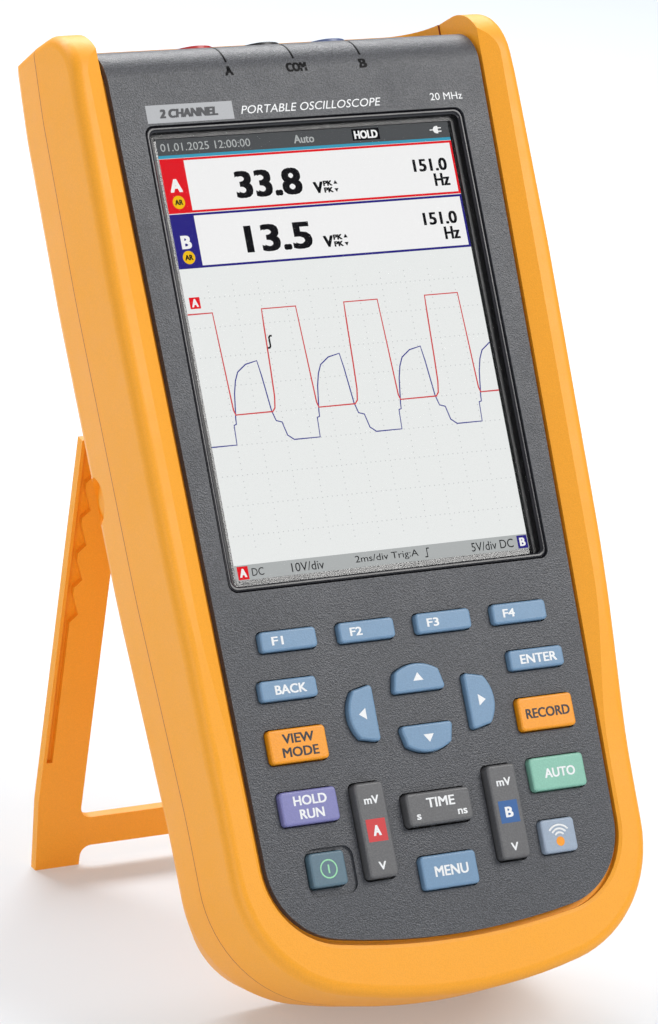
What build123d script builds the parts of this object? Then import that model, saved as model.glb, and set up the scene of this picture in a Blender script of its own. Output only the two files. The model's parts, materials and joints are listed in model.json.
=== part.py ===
from build123d import *
import math
import os

# Handheld two-channel oscilloscope standing on its tilt stand. Millimetres.
# Everything is drawn in the case's own frame: X across, Y from the bottom end to the
# top end, Z (depth) from the back face to the front. place() then leans the case back,
# so that the written parts stand on the floor with +Z up and the display facing -Y.

# driving dimensions of the case
TOP_END = 258.0
BOTTOM_END = -1.0
HALF_WIDTH = 66.0
DEPTH = 55.0
PARTING = 34.0           # depth of the joint between rear and front shell
LOW_RIM = 53.2           # depth of the front rim around the keypad, lower than the rails
WALL = 3.0
EDGE_ROUND = 3.0
BACK_ROUND = 2.0
BOTTOM_ARC = 150.0       # plan radius of the bottom end
SHOULDER_IN = 1.8        # how much each side has drawn in at the very top
# rear shell: depth, how far its sides are drawn in there, how far its bottom end is
REAR_LAYERS = [(0.0, 12.5, 7.5), (16.0, 3.6, 3.0), (21.0, 1.5, 1.6), (PARTING, 0.0, 0.0)]
TOP_CHAMFER = (246.0, 21.0)  # top end: where the back face stops, where the slope meets the end

# front panel, display and connector bay
PANEL_FACE = 53.2
PANEL_THICK = 2.2
PANEL_BACK = PANEL_FACE - PANEL_THICK
PANEL_GAP = 1.3          # shadow gap between panel and rails
PANEL_TOP = 252.4        # top face of the panel, floor of the connector bay
PANEL_ROLL = 10.5        # radius where the panel rolls over the top end
BAY_BACK = 24.2          # depth of the wall behind the connector bay
LEDGE = 3.0              # shelf that carries the panel's edge
WINDOW_SIZE = (95.1, 122.7)
WINDOW_Y = 168.7
ACTIVE_SIZE = (87.3, 116.4)
DISPLAY_Y = 168.0
LENS_THICK = 1.4
GASKET_THICK = 1.0

# stance
LEAN = 32.0              # case leans back from upright
STAND_OPEN = 37.0        # stand opened from the back face
HINGE_Y = 166.7
HINGE_Z = 5.6
STAND_THICK = 3.2
STAND_HALF = 53.0
BARREL_HALF = 49.5       # the hinge barrel and the plate beside it are narrower
BARREL_Y = 157.0         # where the plate narrows to the barrel
SWING_GAP = 1.9         # room above the stand's shoulders as they swing
LEG = 13.4
FOOT_IN = 1.6            # how much each foot draws in at its outer side
PIN_X = 50.5
PIN_R = 1.5
NOTCH_Y = 140.3          # oval notches in the case's sides
NOTCH_Z = 19.0

# keys
KEY_RISE = 1.6
KEY_TRAVEL = 1.0
KEY_CLEAR = 0.35
KEY_FLANGE = 1.2
ROCKER_RISE = 2.6
ROCKER_CLEAR = 0.5
PIVOT_Z = 49.9
PIVOT_R = 1.0
MAT_TOP = 47.7
DOME_TOP = 48.0
KEYPAD_SHEET = (0, 63.5, 92.0, 71.0, 4.0)

# input sockets
SOCKET_X = 20.0
SOCKET_Z = 33.5
SOCKET_R = 6.4
SOCKET_TOP = 254.3
PLUG_R = 2.0             # 4 mm banana plug

# power socket, light port, fasteners
DC_Y = 200.0
DC_Z = 26.0
PORT_Y = 162.0
PORT_Z = 27.0
DOOR_SCREW_X = 25.0
DOOR_SCREW_Y = 56.5
DOOR_SCREW_R = 1.8
SCREW_SPOTS = [(-46.0, 238.0), (46.0, 238.0), (-41.0, 22.0), (41.0, 22.0)]
BOARD_SPOTS = [(-37.0, 36.0), (37.0, 36.0), (-37.0, 224.0), (37.0, 224.0)]

# rectangular push keys: centre x, centre y, width, height
PUSH_KEYS = {
    "key_f1": (-34.1, 93.9, 16.3, 5.3),
    "key_f2": (-11.2, 93.9, 16.3, 5.3),
    "key_f3": (11.6, 93.9, 16.3, 5.3),
    "key_f4": (34.5, 93.9, 16.3, 5.3),
    "key_back": (-36.6, 81.4, 16.4, 5.3),
    "key_enter": (37.0, 81.4, 16.4, 5.3),
    "key_mode": (-36.8, 67.1, 16.6, 8.7),
    "key_record": (36.9, 67.1, 16.6, 8.7),
    "key_hold": (-36.8, 51.2, 16.3, 8.7),
    "key_auto": (36.9, 51.2, 16.3, 8.7),
    "key_menu": (-0.2, 30.2, 16.3, 8.7),
    "key_power": (-34.8, 34.9, 10.1, 8.8),
    "key_wireless": (33.6, 34.9, 10.1, 8.8),
}
# arrow keys: centre x, centre y, direction in degrees, width of the inner side, depth
ARROW_KEYS = {
    "key_up": (0.9, 80.3, 0.0, 15.6, 7.3),
    "key_down": (0.9, 64.5, 180.0, 15.6, 7.3),
    "key_left": (-16.9, 72.6, 90.0, 15.0, 8.0),
    "key_right": (18.3, 72.4, -90.0, 15.0, 8.0),
}
# rockers: centre x, centre y, length, turn of the long side from Y
ROCKERS = {
    "rocker_range_a": (-19.7, 42.9, 24.5, 0.0),
    "rocker_range_b": (19.5, 42.8, 24.5, 0.0),
    "rocker_time": (-0.3, 46.5, 19.0, 90.0),
}
ROCKER_WIDTH = 8.5


# ---------------------------------------------------------------- helpers
def slab(profile, low, high):
    """A flat profile in X-Y made solid between two depths."""
    return extrude(Pos(0, 0, low) * profile, amount=high - low)


def block(x, y, z):
    """A box from its ranges in x, y and z."""
    size = [axis[1] - axis[0] for axis in (x, y, z)]
    middle = [(axis[0] + axis[1]) / 2 for axis in (x, y, z)]
    return Pos(*middle) * Box(*size)


def rounded(x, y, width, height, corner):
    """A rounded rectangle about a centre."""
    return Pos(x, y) * RectangleRounded(width, height, corner)


def post(x, y, radius, low, high):
    """A round post that stands in the depth direction."""
    return Pos(x, y, (low + high) / 2) * Cylinder(radius, high - low)


def rod(x, y, z, radius, length, turn):
    """A rod centred on a point: turn 'x' lies along X, turn 'y' along Y."""
    angles = (0, 90, 0) if turn == "x" else (90, 0, 0)
    return Pos(x, y, z) * Rot(*angles) * Cylinder(radius, length)


def both_sides(shape):
    """A shape and its mirror image across the middle plane."""
    return [shape, mirror(shape, about=Plane.YZ)]


def round_corners(face, points, radius):
    """Round the corners of a flat outline nearest to some points, left and right."""
    spots = [Vector(side * x, y, 0) for x, y in points for side in (-1, 1)]
    return fillet([face.vertices().sort_by_distance(spot)[0] for spot in spots], radius)


# ---------------------------------------------------------------- case
def case_outline(inset=0.0, end_inset=None, top=TOP_END + 21):
    """Plan outline: widest beside the display, tapering down to an arc across the bottom."""
    low = BOTTOM_END + (inset if end_inset is None else end_inset)
    radius = BOTTOM_ARC - inset
    foot = 60.8 - inset
    foot_y = low + radius - math.sqrt(radius ** 2 - foot ** 2)
    right = [
        (foot, foot_y),
        (61.4 - inset, 54.0),
        (64.3 - inset, 112.0),
        (HALF_WIDTH - inset, 190.0),
        (HALF_WIDTH - inset, 238.0),
        (HALF_WIDTH - SHOULDER_IN - inset, top),
    ]
    left = [(-x, y) for x, y in reversed(right)]
    bottom = ThreePointArc((-foot, foot_y), (0, low), (foot, foot_y))
    face = make_face([bottom, *Polyline(*right, *left).edges()])
    for corner, corner_round in zip(right[:5], (34.0 - inset, 400.0, 400.0, 400.0, 120.0)):
        face = round_corners(face, [corner], corner_round)
    return face


def side_profile():
    """Side view: sloped and rounded top end, high rails that ease down to the keypad rim."""
    slope_y, slope_z = TOP_CHAMFER
    corners = [(-20, 0), (slope_y, 0), (TOP_END, slope_z), (TOP_END, DEPTH)]
    corners += [(95, DEPTH), (62, LOW_RIM), (-20, LOW_RIM)]
    face = make_face(Polyline(*corners, close=True).edges())
    for corner, radius in ((3, 14.0), (4, 300.0), (5, 300.0)):
        x, y = corners[corner]
        face = fillet(face.vertices().sort_by_distance(Vector(x, y, 0))[0], radius)
    return extrude(Plane.YZ * face, amount=HALF_WIDTH + 10, both=True)


def rear_block(wall=0.0):
    """The rear half of the case: its sides slope in to a narrower back face."""
    layers = [Pos(0, 0, z) * case_outline(side + wall, end + wall).face() for z, side, end in REAR_LAYERS]
    block_out = loft(layers[:2], ruled=True)
    for low, high in zip(layers[1:], layers[2:]):
        block_out += loft([low, high], ruled=True)
    return block_out


def is_front_rim(edge):
    """True for the edges round the front of the rails and of the bottom rim."""
    box = edge.bounding_box()
    if box.min.X * box.max.X < 0 and edge.geom_type == GeomType.LINE:
        return False
    at_top_end = abs(box.min.Y - TOP_END) < 0.01 and box.max.Z > TOP_CHAMFER[1] + 0.1
    return box.min.Z > 53 or edge.geom_type == GeomType.ELLIPSE or at_top_end


def case_body():
    """The case as one solid block, before it is split and hollowed."""
    body = (rear_block() + slab(case_outline(), PARTING, DEPTH + 5)) & side_profile()
    body = fillet(body.edges().filter_by(is_front_rim), EDGE_ROUND)
    return fillet(body.edges().group_by(Axis.Z)[0], BACK_ROUND)


def panel_outline(inset=0.0):
    """Plan outline of the opening for the front panel, open at the top end."""
    top, low = TOP_END + 10, 19.6 + inset
    foot = 52.7 - inset
    bottom = ThreePointArc((-foot, low), (0, 12.8 + inset), (foot, low))
    right = [(foot, low), (57.2 - inset, top)]
    left = [(-x, y) for x, y in reversed(right)]
    face = make_face([bottom, *Polyline(*right, *left).edges()])
    return round_corners(face, [right[0]], 22.0 - inset)


def under_panel():
    """Everything behind the panel's rolled inner face."""
    inner = block((-90, 90), (-20, PANEL_TOP - PANEL_THICK), (-20, PANEL_BACK))
    edge = inner.edges().filter_by(Axis.X).group_by(Axis.Y)[-1].sort_by(Axis.Z)[-1]
    return fillet(edge, PANEL_ROLL - PANEL_THICK)


def front_shell(body):
    """Yellow front shell: two rails, bottom rim, and a ledge that carries the panel."""
    shell = body & block((-80, 80), (-10, 300), (PARTING, 80))
    shell -= slab(case_outline(WALL), PARTING - 1, PANEL_BACK - LEDGE) & block((-80, 80), (-10, 247), (0, 80))
    shell -= slab(panel_outline(LEDGE), PARTING - 1, 80) & under_panel()
    shell -= slab(panel_outline(), PARTING - 1, 80) - under_panel()
    low = Pos(0, 0, 52.8) * panel_outline().face()
    high = Pos(0, 0, 56.0) * panel_outline(-6.84).face()
    shell -= loft([low, high], ruled=True)
    for x, y in SCREW_SPOTS:
        shell += post(x, y, 4.5, PARTING, PANEL_BACK - 1)
        shell -= post(x, y, 1.5, PARTING - 1, 47.0)
    return shell


def stand_outline(grow=0.0, foot=28.0):
    """Plan of the folded stand: two legs, top plate, cross bar, two feet."""
    half, barrel = STAND_HALF + grow, BARREL_HALF + grow
    right = [
        (half - FOOT_IN, foot - grow),
        (half, foot + 22.0),
        (half, BARREL_Y + grow),
        (barrel, BARREL_Y + grow),
        (barrel, HINGE_Y + grow),
    ]
    outer = make_face(Polyline(*right, *[(-x, y) for x, y in reversed(right)], close=True).edges())
    legs_in = STAND_HALF - LEG - grow
    window = rounded(0, (42.0 + 130.7) / 2, 2 * legs_in, 88.7 - 2 * grow, 3.5)
    notch_half = 38.2 - grow
    notch = slab(rounded(0, foot - 20.0, 2 * notch_half, 2 * (33.2 - grow - foot + 20.0), 3.0), 0, 1)
    return (slab(outer - window, 0, 1) - notch).faces().sort_by(Axis.Z)[-1].moved(Pos(0, 0, -1))


def rear_shell(body, foot):
    """Yellow rear shell, with the stand's recess, battery opening and socket bay."""
    shell = body & block((-80, 80), (-10, 300), (-5, PARTING))
    cavity = rear_block(WALL) + slab(case_outline(WALL), PARTING, PARTING + 0.5)
    shell -= cavity & block((-80, 80), (-10, 243), (WALL, PARTING + 1))
    shell -= block((-50, 50), (231, 250.2), (22, PARTING + 1))
    bay = block((-56.9, 56.9), (250.2, 300), (BAY_BACK, PARTING + 30))
    shell -= fillet(bay.edges().filter_by(Axis.Y).group_by(Axis.Z)[0], 12.0)

    # floor over the folded stand, hinge housing, battery ledge and walls
    inside = body & block((-80, 80), (-10, 243), (0.5, PARTING - 1))
    shell += inside & slab(stand_outline(3.0, foot), 0.5, 7.2)
    shell += inside & block((-70, 70), (HINGE_Y - 9, HINGE_Y + 9), (0.5, 14.5))
    shell += block((-37.5, 37.5), (46.5, 131.5), (2.7, 5.2))
    shell += block((-35, 35), (48, 130), (5.0, 25.0)) - block((-33.4, 33.4), (49.6, 128.4), (4, 26))
    for pad in both_sides(block((55.0, 70.0), (NOTCH_Y - 9, NOTCH_Y + 9), (8.0, 29.0))):
        shell += inside & pad
    for x, y in SCREW_SPOTS:
        shell += inside & post(x, y, 4.8, 1, PARTING - 1)
        shell += post(x, y, 4.5, 10, PARTING)
    for x, y in BOARD_SPOTS:
        shell += post(x, y, 3.0, 2.5, 30.0)
        shell -= post(x, y, 1.1, 23.0, 31.0)

    # cuts
    shell -= slab(stand_outline(0.4, foot), -1, STAND_THICK + 0.4)
    swing = (foot - 0.4, BARREL_Y + SWING_GAP)
    for side in both_sides(block((BARREL_HALF + 0.4, 75), swing, (-1, STAND_THICK + 0.4))):
        shell -= side
    shell -= rod(0, HINGE_Y, HINGE_Z, 6.2, 2 * BARREL_HALF + 0.8, "x")
    shell -= slab(rounded(0, 89.0, 68.6, 78.6, 3.3), -1, 2.7)
    shell -= slab(rounded(0, 89.0, 62.0, 72.0, 2.0), -1, 26)
    for x, y in SCREW_SPOTS:
        shell -= post(x, y, 3.4, -1, 7.5)
        shell -= post(x, y, 1.6, 5, PARTING + 1)
    for x in (-DOOR_SCREW_X, DOOR_SCREW_X):
        shell += post(x, DOOR_SCREW_Y, 5.0, 2.7, 9.0)
        shell -= post(x, DOOR_SCREW_Y, DOOR_SCREW_R + 0.06, 0, 8.0)
    for x in (-PIN_X, PIN_X):
        shell -= rod(x, HINGE_Y, HINGE_Z, PIN_R, 7.0, "x")
    shell -= seal_ring()
    shell -= rod(65, DC_Y, DC_Z, 4.2, 12, "x")
    shell -= optical_window(0.1)
    for notch in finger_notches():
        shell -= notch
    return shell


def finger_notches():
    """Oval notches in both sides, half in the side and half in the slope behind it."""
    oval = Plane.YZ * Pos(NOTCH_Y, NOTCH_Z) * Ellipse(6.3, 6.6)
    return both_sides(extrude(Pos(59.0, 0, 0) * oval, amount=12))


def seal_ring():
    """The soft ring that sits in a groove of the rear shell's rim."""
    outer = slab(case_outline(1.0), PARTING - 1.0, PARTING)
    inner = slab(case_outline(2.1), PARTING - 2.0, PARTING + 1)
    return (outer - inner) & block((-80, 80), (-10, 244), (0, 60))


def front_panel():
    """Dark panel: flat face, rolled top edge and the top plate with its socket holes."""
    outer = block((-60, 60), (8, PANEL_TOP), (BAY_BACK + PANEL_GAP, PANEL_FACE))
    outer = fillet(outer.edges().filter_by(Axis.X).group_by(Axis.Y)[-1].sort_by(Axis.Z)[-1], PANEL_ROLL)
    panel = (outer - under_panel()) & slab(panel_outline(PANEL_GAP), 0, 80)
    corner = block((-55.5, 55.5), (200, 300), (BAY_BACK + PANEL_GAP, 80))
    corner = fillet(corner.edges().filter_by(Axis.Y).group_by(Axis.Z)[0], 10.7)
    panel = (panel & block((-80, 80), (0, 230), (0, 80))) + (panel & corner & block((-80, 80), (230, 300), (0, 80)))
    panel -= slab(rounded(0, WINDOW_Y, *WINDOW_SIZE, 2.5), 45, 60)
    for x in (-SOCKET_X, 0, SOCKET_X):
        panel -= rod(x, PANEL_TOP, SOCKET_Z, SOCKET_R + 0.1, 10, "y")
    x, y, width, height = PUSH_KEYS["key_power"]
    panel -= slab(rounded(x + 1.4, y - 0.6, width + 4.0, height + 3.6, 3.0), PANEL_FACE - 0.7, 60)
    for outline in all_key_outlines().values():
        panel -= slab(offset(outline, KEY_CLEAR), 45, 60)
    for x, y, length, turn in ROCKERS.values():
        hole = RectangleRounded(ROCKER_WIDTH + 2 * ROCKER_CLEAR, length + 2 * ROCKER_CLEAR, 1.6)
        panel -= slab(Pos(x, y) * Rot(0, 0, turn) * hole, 45, 60)
        panel += rocker_lugs(x, y, turn)
    return panel


# ---------------------------------------------------------------- display
def display_lens():
    width, height = WINDOW_SIZE
    return slab(rounded(0, WINDOW_Y, width - 0.4, height - 0.4, 2.3), PANEL_BACK, PANEL_BACK + LENS_THICK)


def lens_gasket():
    width, height = WINDOW_SIZE
    low = PANEL_BACK - GASKET_THICK
    frame = slab(rounded(0, WINDOW_Y, width + 4.4, height + 4.4, 4.0), low, PANEL_BACK)
    opening = slab(rounded(0, DISPLAY_Y, ACTIVE_SIZE[0] + 1.6, ACTIVE_SIZE[1] + 1.6, 0.6), low - 1, 60)
    return frame - opening


def display_stack():
    """Glass, backlight and the metal tray that holds them behind the gasket."""
    top = PANEL_BACK - GASKET_THICK
    glass = slab(rounded(0, DISPLAY_Y, 92.0, 122.0, 0.5), top - 1.4, top)
    backlight = slab(rounded(0, DISPLAY_Y, 91.6, 121.6, 0.5), top - 3.4, top - 1.4)
    tray = slab(rounded(0, DISPLAY_Y, 96.6, 126.6, 1.5), top - 4.2, top)
    tray -= slab(rounded(0, DISPLAY_Y, 92.2, 122.2, 0.5), top - 3.4, top + 1)
    return {"lcd_panel": glass, "backlight": backlight, "lcd_frame": tray}


# ---------------------------------------------------------------- keys
def arrow_outline(x, y, turn, base, depth):
    """An arrow key: straight inner side, shorter bowed outer side."""
    half = base / 2
    low, shoulder, crown = -depth / 2, depth * 0.22, depth / 2
    sides = Polyline((-0.84 * half, shoulder), (-half, low), (half, low), (0.84 * half, shoulder))
    crown_arc = ThreePointArc((0.84 * half, shoulder), (0, crown), (-0.84 * half, shoulder))
    face = make_face([*sides.edges(), crown_arc])
    return Pos(x, y) * Rot(0, 0, turn) * fillet(face.vertices(), 1.0)


def all_key_outlines():
    outlines = {name: rounded(*spec, 1.1) for name, spec in PUSH_KEYS.items()}
    outlines.update({name: arrow_outline(*spec) for name, spec in ARROW_KEYS.items()})
    return outlines


def push_key(outline):
    """A key cap with the flange that keeps it behind the panel."""
    top = PANEL_FACE + KEY_RISE
    foot = PANEL_BACK - 1.4
    cap = slab(outline, foot, top)
    cap = fillet(cap.edges().group_by(Axis.Z)[-1], 0.6)
    return cap + slab(offset(outline, KEY_FLANGE), foot, PANEL_BACK - 0.2)


def rocker(x, y, length, turn):
    """A rocker bar with a dished top and two stub axles."""
    top = PANEL_FACE + ROCKER_RISE
    bar = extrude(RectangleRounded(ROCKER_WIDTH, length, 1.2), amount=top - PIVOT_Z + 1.0)
    bar = fillet(bar.edges().group_by(Axis.Z)[-1], 0.7)
    bar += Pos(0, 0, 1.0) * Rot(0, 90, 0) * Cylinder(PIVOT_R, ROCKER_WIDTH + 5.0)
    return Pos(x, y, PIVOT_Z - 1.0) * Rot(0, 0, turn) * bar


def rocker_lugs(x, y, turn):
    """Two bored lugs behind the panel that carry a rocker's axles."""
    inner = ROCKER_WIDTH / 2 + ROCKER_CLEAR + 0.3
    lug = block((inner, inner + 2.2), (-2.2, 2.2), (PIVOT_Z - 1.9, PANEL_BACK + 0.2))
    lug -= rod(0, 0, PIVOT_Z, PIVOT_R + 0.08, 40, "x")
    pair = Compound(children=[lug, Rot(0, 0, 180) * lug])
    return [Pos(x, y) * Rot(0, 0, turn) * each for each in pair.solids()]


def keypad_mat():
    """Silicone sheet with one dome below each key and two below each rocker."""
    mat = slab(rounded(*KEYPAD_SHEET), MAT_TOP - 0.8, MAT_TOP)
    spots = [spec[:2] for spec in [*PUSH_KEYS.values(), *ARROW_KEYS.values()]]
    for x, y, length, turn in ROCKERS.values():
        reach = length * 0.33
        step = (0, reach) if turn == 0 else (reach, 0)
        spots += [(x + step[0], y + step[1]), (x - step[0], y - step[1])]
    for x, y in spots:
        mat += post(x, y, 2.0, MAT_TOP - 0.1, DOME_TOP)
    return mat


# ---------------------------------------------------------------- stand
def tilt_stand(foot):
    """The folded stand: plate with barrels, grooves and ratchet teeth on its inner face."""
    stand = slab(stand_outline(0.0, foot), 0, STAND_THICK)
    stand = fillet(stand.edges().group_by(Axis.Z)[0], 0.6)
    stand += rod(0, HINGE_Y, HINGE_Z, 5.2, 2 * BARREL_HALF, "x")
    for x in (-PIN_X, PIN_X):
        stand -= rod(x, HINGE_Y, HINGE_Z, PIN_R + 0.06, 9.0, "x")
    face = STAND_THICK
    for groove in both_sides(block((50.2, 52.0), (HINGE_Y - 106, HINGE_Y - 12), (face - 1.6, face + 6))):
        stand -= groove
    for step in range(5):
        start = HINGE_Y - 13.0 - 10.3 * step
        tooth = Polyline((50.6, start), (47.9, start - 7.2), (50.6, start - 9.6), close=True)
        for cut in both_sides(slab(make_face(tooth.edges()), face - 1.6, face + 1)):
            stand -= cut
    return stand


def stand_pins():
    """Two steel hinge pins, held by the rear shell's cheeks."""
    return Compound(children=both_sides(rod(PIN_X, HINGE_Y, HINGE_Z, PIN_R, 6.9, "x")))


# ---------------------------------------------------------------- battery
def battery_door():
    door = slab(rounded(0, 89.0, 68.0, 78.0, 3.0), 0, 2.6)
    for x in (-DOOR_SCREW_X, DOOR_SCREW_X):
        door -= post(x, DOOR_SCREW_Y, 3.7, -1, 1.6)
        door -= post(x, DOOR_SCREW_Y, DOOR_SCREW_R + 0.06, -1, 4)
    for row in range(4):
        door -= block((-14, 14), (112 + 3 * row, 113.2 + 3 * row), (-1, 0.6))
    return door


def door_screw(x):
    """Quarter-turn screw with a coin slot."""
    screw = post(x, DOOR_SCREW_Y, 3.6, 0.3, 1.6) + post(x, DOOR_SCREW_Y, DOOR_SCREW_R, 1.5, 7.8)
    return screw - block((x - 4, x + 4), (DOOR_SCREW_Y - 0.6, DOOR_SCREW_Y + 0.6), (0, 1.0))


# ---------------------------------------------------------------- inputs
def input_shroud(x):
    """Insulating shroud of a 4 mm safety socket, with its round plug gap."""
    bottom = 231.0
    middle = (bottom + SOCKET_TOP) / 2
    shroud = rod(x, middle, SOCKET_Z, SOCKET_R, SOCKET_TOP - bottom, "y")
    shroud += rod(x, 249.2, SOCKET_Z, 7.5, 2.0, "y")
    gap = rod(x, 246.0, SOCKET_Z, 4.7, 20.0, "y") - rod(x, 246.0, SOCKET_Z, 3.5, 21.0, "y")
    shroud -= gap
    shroud -= rod(x, 244.0, SOCKET_Z, PLUG_R + 0.9, 22.0, "y")
    return shroud - rod(x, 255.0, SOCKET_Z, 3.7, 4.0, "y")


def socket_sleeves():
    """The three metal contact sleeves."""
    sleeves = []
    for x in (-SOCKET_X, 0, SOCKET_X):
        sleeve = rod(x, 243.0, SOCKET_Z, PLUG_R + 0.9, 20.0, "y")
        sleeves.append(sleeve - rod(x, 245.0, SOCKET_Z, PLUG_R, 20.0, "y"))
    return Compound(children=sleeves)


def dc_socket():
    body = block((49, 61.0), (DC_Y - 5.5, DC_Y + 5.5), (DC_Z - 5.5, DC_Z + 5.5))
    body += rod(62.4, DC_Y, DC_Z, 4.1, 3.0, "x")
    body -= rod(59.2, DC_Y, DC_Z, 2.75, 9.6, "x")
    return body


def dc_pin():
    return rod(58.5, DC_Y, DC_Z, 1.0, 8.2, "x")


def optical_window(slack=0.0):
    """Dark window in the right-hand wall for the light-coupled data port."""
    angle = math.degrees(math.atan2(REAR_LAYERS[2][1], PARTING - REAR_LAYERS[2][0]))
    centre = Pos(64.4, PORT_Y, PORT_Z) * Rot(0, angle, 0)
    plug = Pos(-1.7, 0, 0) * Box(3.2 + slack, 16 + 2 * slack, 8 + 2 * slack)
    return centre * plug


# ---------------------------------------------------------------- electronics
def electronics():
    board = block((-43, 43), (31, 229), (30.0, 31.6))
    for x, y in BOARD_SPOTS:
        board -= post(x, y, 1.1, 29, 33)
    keypad_board = slab(rounded(*KEYPAD_SHEET), MAT_TOP - 2.3, MAT_TOP - 0.8)
    input_can = block((-41, 41), (180, 219), (22.0, 30.0)) - block((-40.6, 40.6), (180.4, 218.6), (22.4, 31))
    logic_can = block((-32, 32), (140, 212), (31.6, 37.0)) - block((-31.6, 31.6), (140.4, 211.6), (31, 36.6))
    card_socket = block((-28, -12), (140, 156), (27.2, 30.0)) - block((-26, -14), (139, 155), (28.0, 29.4))
    contacts = [block((x - 1, x + 1), (68, 74), (23.0, 30.0)) for x in (-12, 0, 12)]
    return {
        "main_board": board,
        "keypad_board": keypad_board,
        "input_shield": input_can,
        "logic_shield": logic_can,
        "board_connector": block((-12, 12), (56, 61), (31.6, MAT_TOP - 2.3)),
        "beeper": post(24, 116, 6.0, 31.6, 37.0) - post(24, 116, 1.0, 36.0, 38.0),
        "wireless_module": block((-38, -20), (48, 72), (31.6, 34.0)),
        "card_socket": card_socket,
        "memory_card": block((-25.5, -14.5), (139.5, 154.5), (28.2, 29.2)),
        "battery_pack": slab(rounded(0, 94.5, 60.6, 60.0, 2.5), 3.0, 23.0),
        "battery_contacts": Compound(children=contacts),
    }


def screw(x, y, head_r, head_low, head_high, shaft_r, tip):
    """A screw in the depth direction with a cross recess in its head."""
    seat = head_high if tip > head_high else head_low
    body = post(x, y, head_r, head_low, head_high) + post(x, y, shaft_r, min(seat, tip), max(seat, tip))
    face = head_low if tip > head_high else head_high
    for size in ((0.7 * head_r, 0.35), (0.35, 0.7 * head_r)):
        body -= block((x - size[0], x + size[0]), (y - size[1], y + size[1]), (face - 0.9, face + 0.9))
    return body


def fasteners():
    case = [screw(x, y, 3.1, 5.0, 7.5, 1.5, 46.5) for x, y in SCREW_SPOTS]
    board = [screw(x, y, 2.2, 31.6, 33.2, 1.1, 24.0) for x, y in BOARD_SPOTS]
    return {"case_screws": Compound(children=case), "board_screws": Compound(children=board)}


# ---------------------------------------------------------------- assembly
def build_case_frame(body, foot):
    """Every piece in the case's own frame, by node name."""
    parts = {
        "front_shell": front_shell(body),
        "rear_shell": rear_shell(body, foot),
        "case_seal": seal_ring(),
        "front_panel": front_panel(),
        "display_lens": display_lens(),
        "lens_gasket": lens_gasket(),
        "keypad_mat": keypad_mat(),
        "battery_door": battery_door(),
        "door_screw_left": door_screw(-DOOR_SCREW_X),
        "door_screw_right": door_screw(DOOR_SCREW_X),
        "input_a_shroud": input_shroud(-SOCKET_X),
        "common_shroud": input_shroud(0),
        "input_b_shroud": input_shroud(SOCKET_X),
        "socket_sleeves": socket_sleeves(),
        "dc_socket": dc_socket(),
        "dc_pin": dc_pin(),
        "optical_window": optical_window(),
        "stand_pins": stand_pins(),
    }
    parts.update(display_stack())
    parts.update(electronics())
    parts.update(fasteners())
    parts.update({name: push_key(outline) for name, outline in all_key_outlines().items()})
    parts.update({name: rocker(*spec) for name, spec in ROCKERS.items()})
    return parts


def lean(shape):
    """Turn a shape from the case's frame to its standing attitude."""
    return Rot(90 - LEAN, 0, 0) * shape


def lean_point(x, y, z):
    turn = math.radians(90 - LEAN)
    return Vector(x, y * math.cos(turn) - z * math.sin(turn), y * math.sin(turn) + z * math.cos(turn))


def main():
    os.makedirs("parts", exist_ok=True)
    body = case_body()
    floor = lean(body).bounding_box().min.Z
    drop = lean_point(0, HINGE_Y, HINGE_Z).Z - floor
    foot = HINGE_Y - drop / math.cos(math.radians(STAND_OPEN - LEAN)) - 1.0
    parts = {name: lean(shape) for name, shape in build_case_frame(body, foot).items()}

    hinge = Pos(0, HINGE_Y, HINGE_Z)
    opened = hinge * Rot(STAND_OPEN, 0, 0) * hinge.inverse() * tilt_stand(foot)
    ground = Pos(0, 0, floor - 25) * Box(400, 600, 50)
    parts["tilt_stand"] = lean(opened) - ground

    box = Compound(children=[*parts.values()]).bounding_box()
    centre = box.center()
    shift = Vector(-centre.X, -centre.Y, -floor)
    for name, shape in sorted(parts.items()):
        solids = (Pos(*shift) * shape).solids()
        export_step(solids[0] if len(solids) == 1 else Compound(children=solids), f"parts/{name}.step")
    print("shift", [round(value, 4) for value in shift])
    print("folded foot at", round(foot, 3))


main()
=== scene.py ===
import json
import math

import bmesh
import bpy
from mathutils import Matrix, Vector


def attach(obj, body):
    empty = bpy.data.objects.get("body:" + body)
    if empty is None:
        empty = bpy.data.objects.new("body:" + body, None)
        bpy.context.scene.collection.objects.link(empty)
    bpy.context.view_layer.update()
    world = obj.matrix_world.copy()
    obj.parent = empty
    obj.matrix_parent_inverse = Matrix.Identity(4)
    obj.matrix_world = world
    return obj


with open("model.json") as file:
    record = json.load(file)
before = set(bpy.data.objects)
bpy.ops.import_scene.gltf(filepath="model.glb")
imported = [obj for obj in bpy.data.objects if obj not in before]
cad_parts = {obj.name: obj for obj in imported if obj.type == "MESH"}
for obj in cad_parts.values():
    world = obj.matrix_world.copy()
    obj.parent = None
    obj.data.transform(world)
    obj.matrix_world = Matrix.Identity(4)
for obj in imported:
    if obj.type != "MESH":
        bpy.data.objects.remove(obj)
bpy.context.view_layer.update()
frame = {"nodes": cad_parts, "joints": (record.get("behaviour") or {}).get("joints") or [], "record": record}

# ---- Attitude of the case -------------------------------------------------------------
# The instrument leans back on its stand. The input sockets point along the case, the back
# face gives its depth, and the stand's hinge gives one known place, all from the record.
HINGE_Y, HINGE_Z = 166.7, 5.6


def record_mount(name):
    return next(m for m in frame["record"]["mounts"] if m["name"] == name)


def record_joint(name):
    return next(j for j in frame["joints"] if j["name"] == name)


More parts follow.
